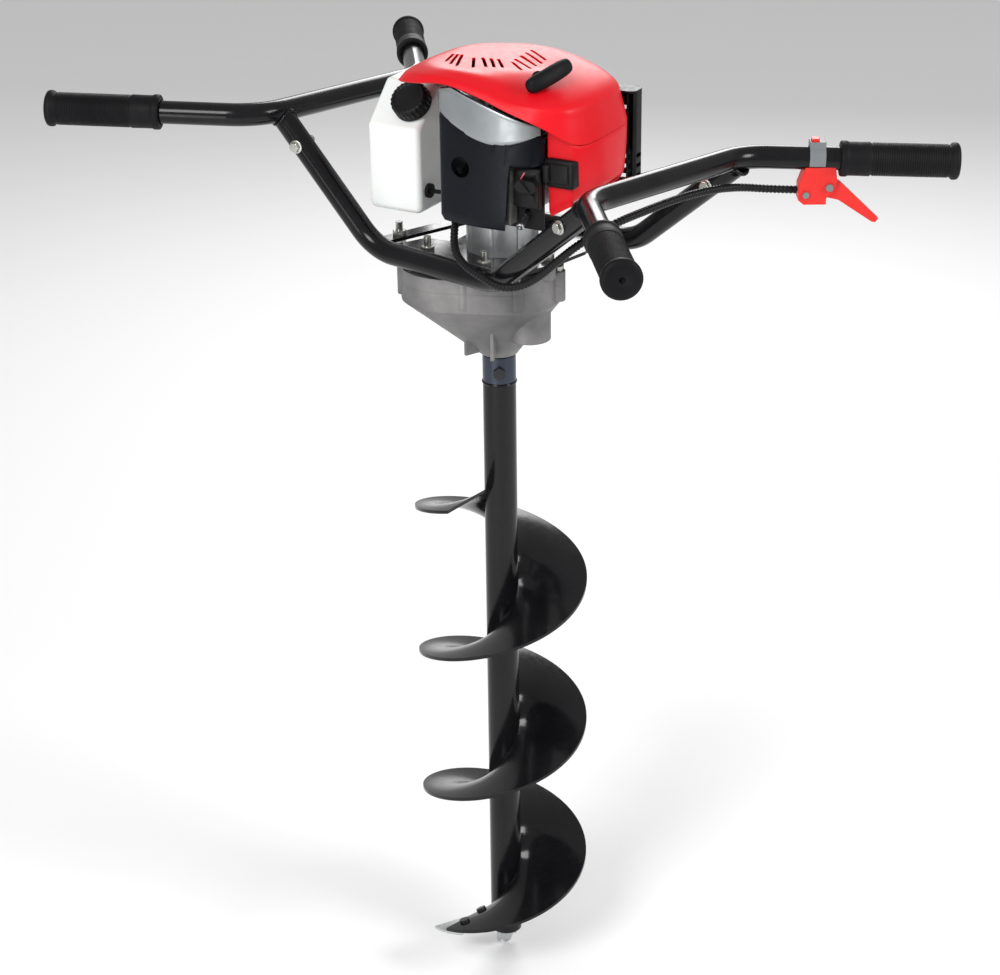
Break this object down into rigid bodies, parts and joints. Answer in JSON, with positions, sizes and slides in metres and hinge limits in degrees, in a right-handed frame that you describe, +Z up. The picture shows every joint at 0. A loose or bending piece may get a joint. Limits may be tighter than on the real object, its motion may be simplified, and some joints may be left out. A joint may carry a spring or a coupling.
{
  "type": "ice fishing auger",
  "caption": "petrol ice auger: screw bit, reduction gearbox and small engine in a bent-tube frame with hand grips on every side",
  "frame": {"origin": "tip of the pilot point, on the axis that the drill turns about", "axes": "+Z up along the drill, +X toward the throttle grip, -Y toward the front grip"},
  "size_m": [0.9886, 0.9791, 1.1553],
  "materials": {
    "gearbox_housing": "sand cast grey",
    "gearbox_cover": "sand cast grey",
    "gearbox_screws": "zinc plated",
    "ball_bearings": "machined",
    "oil_seal": "matt ribbed black",
    "clutch_housing": "die cast",
    "crankcase": "die cast",
    "cylinder": "die cast",
    "piston": "die cast",
    "connecting_rod": "machined",
    "spark_plug": "zinc plated",
    "plug_boot": "matt ribbed black",
    "ignition_coil": "fine-grained black",
    "muffler": "zinc plated",
    "muffler_guard": "fine-grained black",
    "carburettor": "sand cast grey",
    "idle_screw": "machined",
    "filter_base": "fine-grained black",
    "filter_element": "open foam",
    "filter_cover": "fine-grained black",
    "filter_panel": "satin silver",
    "filter_screw": "zinc plated",
    "recoil_housing": "glossy moulded red",
    "starter_rope": "braided",
    "engine_shroud": "glossy moulded red",
    "fuel_tank": "translucent natural white",
    "fuel_line": "matt ribbed black",
    "right_handlebar": "black powder coat",
    "left_handlebar": "black powder coat",
    "front_cradle_tube": "black powder coat",
    "rear_cradle_tube": "black powder coat",
    "cradle_plate": "black powder coat",
    "frame_bolts": "zinc plated",
    "right_grip": "matt ribbed black",
    "front_grip": "matt ribbed black",
    "left_grip": "matt ribbed black",
    "back_grip": "matt ribbed black",
    "trigger_housing": "glossy moulded red",
    "throttle_fittings": "grey moulded",
    "throttle_conduit": "fine-grained black",
    "throttle_arm": "machined",
    "auger_tube": "glossy black enamel",
    "auger_flight": "glossy black enamel",
    "cutting_blade": "machined",
    "pilot_point": "machined",
    "auger_socket": "glossy black enamel",
    "auger_bolts": "machined",
    "output_shaft": "machined",
    "output_gear": "machined",
    "idler_shaft": "machined",
    "clutch_drum": "machined",
    "crankshaft": "machined",
    "flywheel": "die cast",
    "clutch_shoes": "die cast",
    "recoil_reel": "fine-grained black",
    "starter_grip": "matt ribbed black",
    "trigger_lever": "glossy moulded red",
    "choke_lever": "fine-grained black",
    "fuel_cap": "fine-grained black",
    "stop_button": "glossy moulded red"
  },
  "bodies": {
    "frame": {"gearbox_housing": "gearbox_housing", "gearbox_cover": "gearbox_cover", "gearbox_screws": "gearbox_screws", "ball_bearings": "ball_bearings", "oil_seal": "oil_seal", "clutch_housing": "clutch_housing", "crankcase": "crankcase", "cylinder": "cylinder", "piston": "piston", "connecting_rod": "connecting_rod", "spark_plug": "spark_plug", "plug_boot": "plug_boot", "ignition_coil": "ignition_coil", "muffler": "muffler", "muffler_guard": "muffler_guard", "carburettor": "carburettor", "idle_screw": "idle_screw", "filter_base": "filter_base", "filter_element": "filter_element", "filter_cover": "filter_cover", "filter_panel": "filter_panel", "filter_screw": "filter_screw", "recoil_housing": "recoil_housing", "starter_rope": "starter_rope", "engine_shroud": "engine_shroud", "fuel_tank": "fuel_tank", "fuel_line": "fuel_line", "right_handlebar": "right_handlebar", "left_handlebar": "left_handlebar", "front_cradle_tube": "front_cradle_tube", "rear_cradle_tube": "rear_cradle_tube", "cradle_plate": "cradle_plate", "frame_bolts": "frame_bolts", "right_grip": "right_grip", "front_grip": "front_grip", "left_grip": "left_grip", "back_grip": "back_grip", "trigger_housing": "trigger_housing", "throttle_fittings": "throttle_fittings", "throttle_conduit": "throttle_conduit", "throttle_arm": "throttle_arm"},
    "drill": {"auger_tube": "auger_tube", "auger_flight": "auger_flight", "cutting_blade": "cutting_blade", "pilot_point": "pilot_point", "auger_socket": "auger_socket", "auger_bolts": "auger_bolts", "output_shaft": "output_shaft", "output_gear": "output_gear"},
    "idler": {"idler_shaft": "idler_shaft"},
    "drum": {"clutch_drum": "clutch_drum"},
    "crank": {"crankshaft": "crankshaft", "flywheel": "flywheel", "clutch_shoes": "clutch_shoes"},
    "reel": {"recoil_reel": "recoil_reel"},
    "starter": {"starter_grip": "starter_grip"},
    "trigger": {"trigger_lever": "trigger_lever"},
    "choke": {"choke_lever": "choke_lever"},
    "cap": {"fuel_cap": "fuel_cap"},
    "stop": {"stop_button": "stop_button"}
  },
  "joints": [
    {"name": "auger_spin", "type": "hinge", "parent": "frame", "child": "drill", "pos_m": [0, 0, 0.78], "axis": [0, 0, 1], "continuous": true},
    {"name": "idler_spin", "type": "hinge", "parent": "frame", "child": "idler", "pos_m": [-0.0495, 0, 0.875], "axis": [0, 0, 1], "continuous": true},
    {"name": "drum_spin", "type": "hinge", "parent": "frame", "child": "drum", "pos_m": [0.00525, 0, 0.93], "axis": [0, 0, 1], "continuous": true},
    {"name": "crank_spin", "type": "hinge", "parent": "frame", "child": "crank", "pos_m": [0.00525, 0, 1.03], "axis": [0, 0, 1], "continuous": true},
    {"name": "starter_pull", "type": "slide", "parent": "frame", "child": "starter", "axis": [0.5174, -0.7836, 0.3439], "range_m": [0, 0.6], "deforming": ["starter_rope"]},
    {"name": "reel_spin", "type": "hinge", "parent": "frame", "child": "reel", "pos_m": [0.00525, 0, 1.11], "axis": [0, 0, 1], "range_deg": [0, 1100]},
    {"name": "throttle_squeeze", "type": "hinge", "parent": "frame", "child": "trigger", "pos_m": [0.355, -0.05, 1.006], "axis": [0, -1, 0], "range_deg": [0, 26], "stiffness_Nm_per_rad": 0.6, "springref_deg": -20.05},
    {"name": "choke_turn", "type": "hinge", "parent": "frame", "child": "choke", "pos_m": [0.03253, -0.11275, 1.029], "axis": [-0.5, -0.866, 0], "range_deg": [0, 75]},
    {"name": "cap_unscrew", "type": "hinge", "parent": "frame", "child": "cap", "pos_m": [-0.08879, 0.02312, 1.079], "axis": [-0.3536, -0.6124, 0.7071], "range_deg": [0, 540]},
    {"name": "stop_press", "type": "slide", "parent": "frame", "child": "stop", "axis": [0, 0, -1], "range_m": [0, 0.0018], "stiffness_N_per_m": 400}
  ],
  "couplings": [
    {"joint": "idler_spin", "follows": "auger_spin", "ratio": -5.6},
    {"joint": "drum_spin", "follows": "auger_spin", "ratio": 31.564},
    {"joint": "reel_spin", "follows": "starter_pull", "rad_per_m": 31.546}
  ]
}
